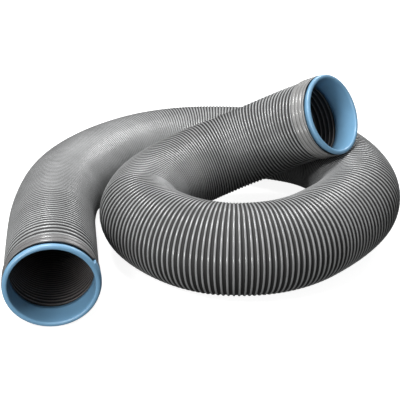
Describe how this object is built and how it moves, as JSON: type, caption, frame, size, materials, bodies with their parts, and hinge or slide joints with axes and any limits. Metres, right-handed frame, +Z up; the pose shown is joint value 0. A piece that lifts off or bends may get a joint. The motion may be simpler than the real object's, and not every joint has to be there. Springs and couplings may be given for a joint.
{
  "type": "flexible air duct",
  "caption": "Ribbed wire-reinforced flexible air duct with a moulded cuff at each end, lying in a loose loop with one end resting on top.",
  "frame": {"origin": "on the floor under the middle of the duct as it lies", "axes": "+Z up, +X to the right and +Y away from the near cuff's mouth side; the duct lies on Z = 0"},
  "size_m": [0.5338, 0.5164, 0.2198],
  "materials": {
    "hose_outside": "silver-grey plastic with rounded helical ribs, satin gloss",
    "spring_wire": "drawn spring steel wire",
    "hose_inside": "dark grey plastic with helical ribs",
    "cuff": "light blue moulded plastic, satin",
    "end_band": "smooth silver-grey plastic with broad flat ridges"
  },
  "bodies": {
    "loop": {"outer_wall_near_bend_1": "hose_outside", "wire_helix_near_bend_1": "spring_wire", "inner_wall_near_bend_1": "hose_inside", "outer_wall_near_bend_2": "hose_outside", "wire_helix_near_bend_2": "spring_wire", "inner_wall_near_bend_2": "hose_inside", "outer_wall_loop_1": "hose_outside", "wire_helix_loop_1": "spring_wire", "inner_wall_loop_1": "hose_inside", "outer_wall_loop_2": "hose_outside", "wire_helix_loop_2": "spring_wire", "inner_wall_loop_2": "hose_inside", "outer_wall_loop_3": "hose_outside", "wire_helix_loop_3": "spring_wire", "inner_wall_loop_3": "hose_inside", "outer_wall_loop_4": "hose_outside", "wire_helix_loop_4": "spring_wire", "inner_wall_loop_4": "hose_inside", "outer_wall_loop_5": "hose_outside", "wire_helix_loop_5": "spring_wire", "inner_wall_loop_5": "hose_inside", "outer_wall_loop_6": "hose_outside", "wire_helix_loop_6": "spring_wire", "inner_wall_loop_6": "hose_inside", "outer_wall_loop_7": "hose_outside", "wire_helix_loop_7": "spring_wire", "inner_wall_loop_7": "hose_inside", "outer_wall_loop_8": "hose_outside", "wire_helix_loop_8": "spring_wire", "inner_wall_loop_8": "hose_inside", "outer_wall_far_bend": "hose_outside", "wire_helix_far_bend": "spring_wire", "inner_wall_far_bend": "hose_inside"},
    "near_arm": {"outer_wall_near_stretch": "hose_outside", "wire_helix_near_stretch": "spring_wire", "inner_wall_near_stretch": "hose_inside", "outer_wall_near_arm": "hose_outside", "wire_helix_near_arm": "spring_wire", "inner_wall_near_arm": "hose_inside"},
    "near_end": {"outer_wall_near_end": "hose_outside", "wire_helix_near_end": "spring_wire", "inner_wall_near_end": "hose_inside", "near_cuff": "cuff", "near_end_band": "end_band"},
    "far_arm": {"outer_wall_far_arm": "hose_outside", "wire_helix_far_arm": "spring_wire", "inner_wall_far_arm": "hose_inside", "outer_wall_far_turn": "hose_outside", "wire_helix_far_turn": "spring_wire", "inner_wall_far_turn": "hose_inside"},
    "far_end": {"outer_wall_far_end": "hose_outside", "wire_helix_far_end": "spring_wire", "inner_wall_far_end": "hose_inside", "far_cuff": "cuff", "far_end_band": "end_band"}
  },
  "joints": [
    {"name": "near_swing", "type": "hinge", "parent": "loop", "child": "near_arm", "pos_m": [-0.132, 0.148, 0.056], "axis": [0, 0, -1], "range_deg": [0, 40], "deforming": ["outer_wall_near_bend_1", "wire_helix_near_bend_1", "inner_wall_near_bend_1", "outer_wall_near_bend_2", "wire_helix_near_bend_2", "inner_wall_near_bend_2"]},
    {"name": "near_pull", "type": "slide", "parent": "near_arm", "child": "near_end", "axis": [0.1696, -0.9855, 0], "range_m": [0, 0.12], "deforming": ["outer_wall_near_stretch", "wire_helix_near_stretch", "inner_wall_near_stretch"]},
    {"name": "far_lift", "type": "hinge", "parent": "loop", "child": "far_arm", "pos_m": [-0.092, -0.05, 0.0625], "axis": [0.2572, -0.9664, 0], "range_deg": [0, 30], "deforming": ["outer_wall_far_bend", "wire_helix_far_bend", "inner_wall_far_bend"]},
    {"name": "far_swing", "type": "hinge", "parent": "far_arm", "child": "far_end", "pos_m": [0.072, 0.08, 0.108], "axis": [0, 0, 1], "range_deg": [-25, 0], "deforming": ["outer_wall_far_turn", "wire_helix_far_turn", "inner_wall_far_turn"]}
  ]
}
